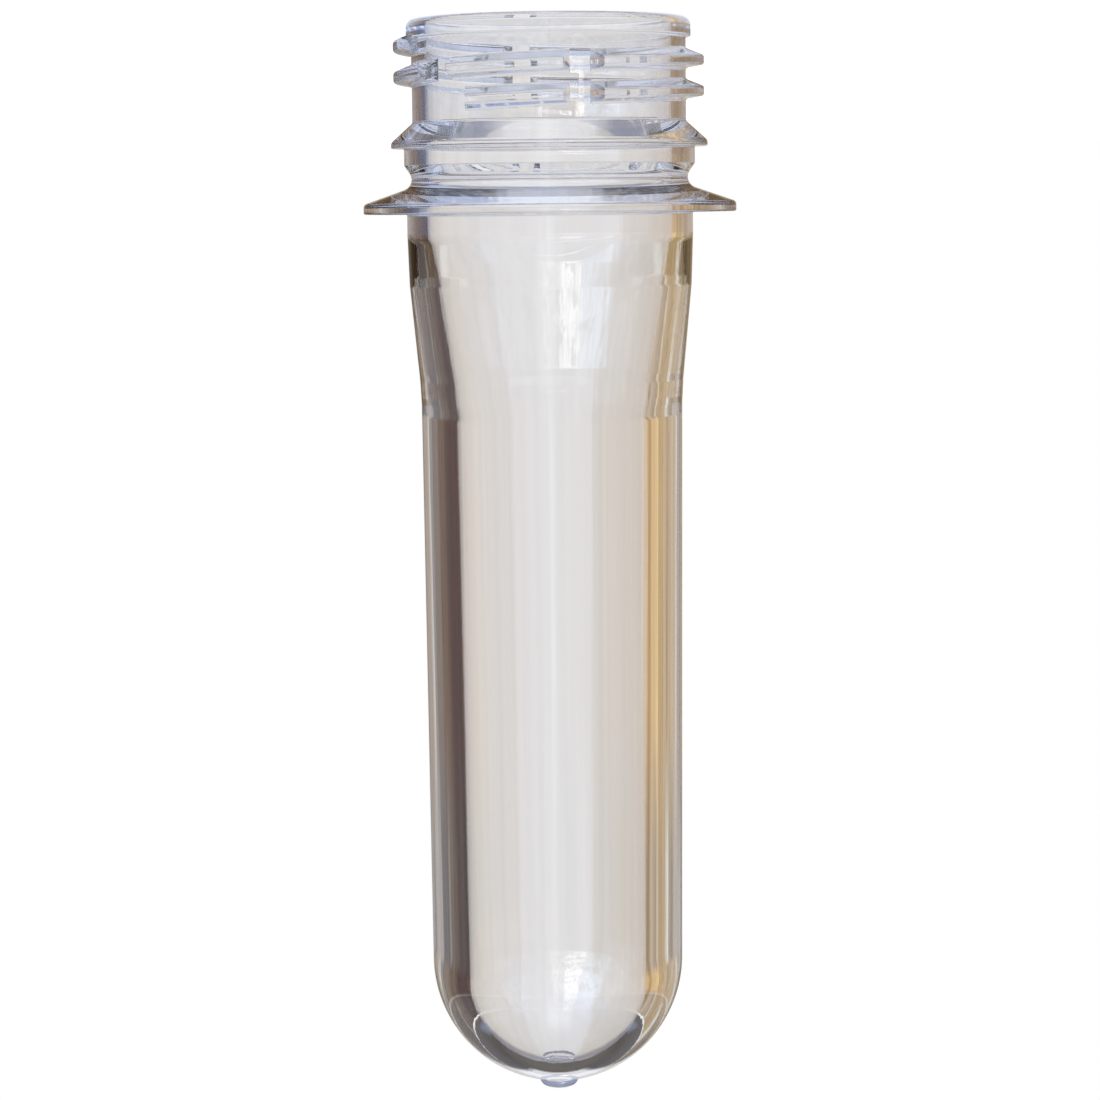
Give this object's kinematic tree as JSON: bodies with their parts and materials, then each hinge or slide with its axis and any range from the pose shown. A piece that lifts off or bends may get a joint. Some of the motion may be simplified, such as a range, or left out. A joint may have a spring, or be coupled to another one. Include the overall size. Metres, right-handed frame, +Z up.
{
  "type": "pet bottle preform",
  "caption": "Clear moulded bottle preform: threaded neck with vent slots, tamper bead and support ring, thick-walled tube and round closed end with gate stub.",
  "frame": {"origin": "on the axis, in the plane of the mouth's sealing face, which the preform stands on", "axes": "+Z up the axis from the mouth to the closed end; the preform is round, so X and Y only fix where the thread starts"},
  "size_m": [0.033, 0.033, 0.0963],
  "materials": {
    "clear_pet": "polished clear amorphous PET with a faint blue tint"
  },
  "bodies": {
    "root": {"preform": "clear_pet"}
  },
  "joints": []
}
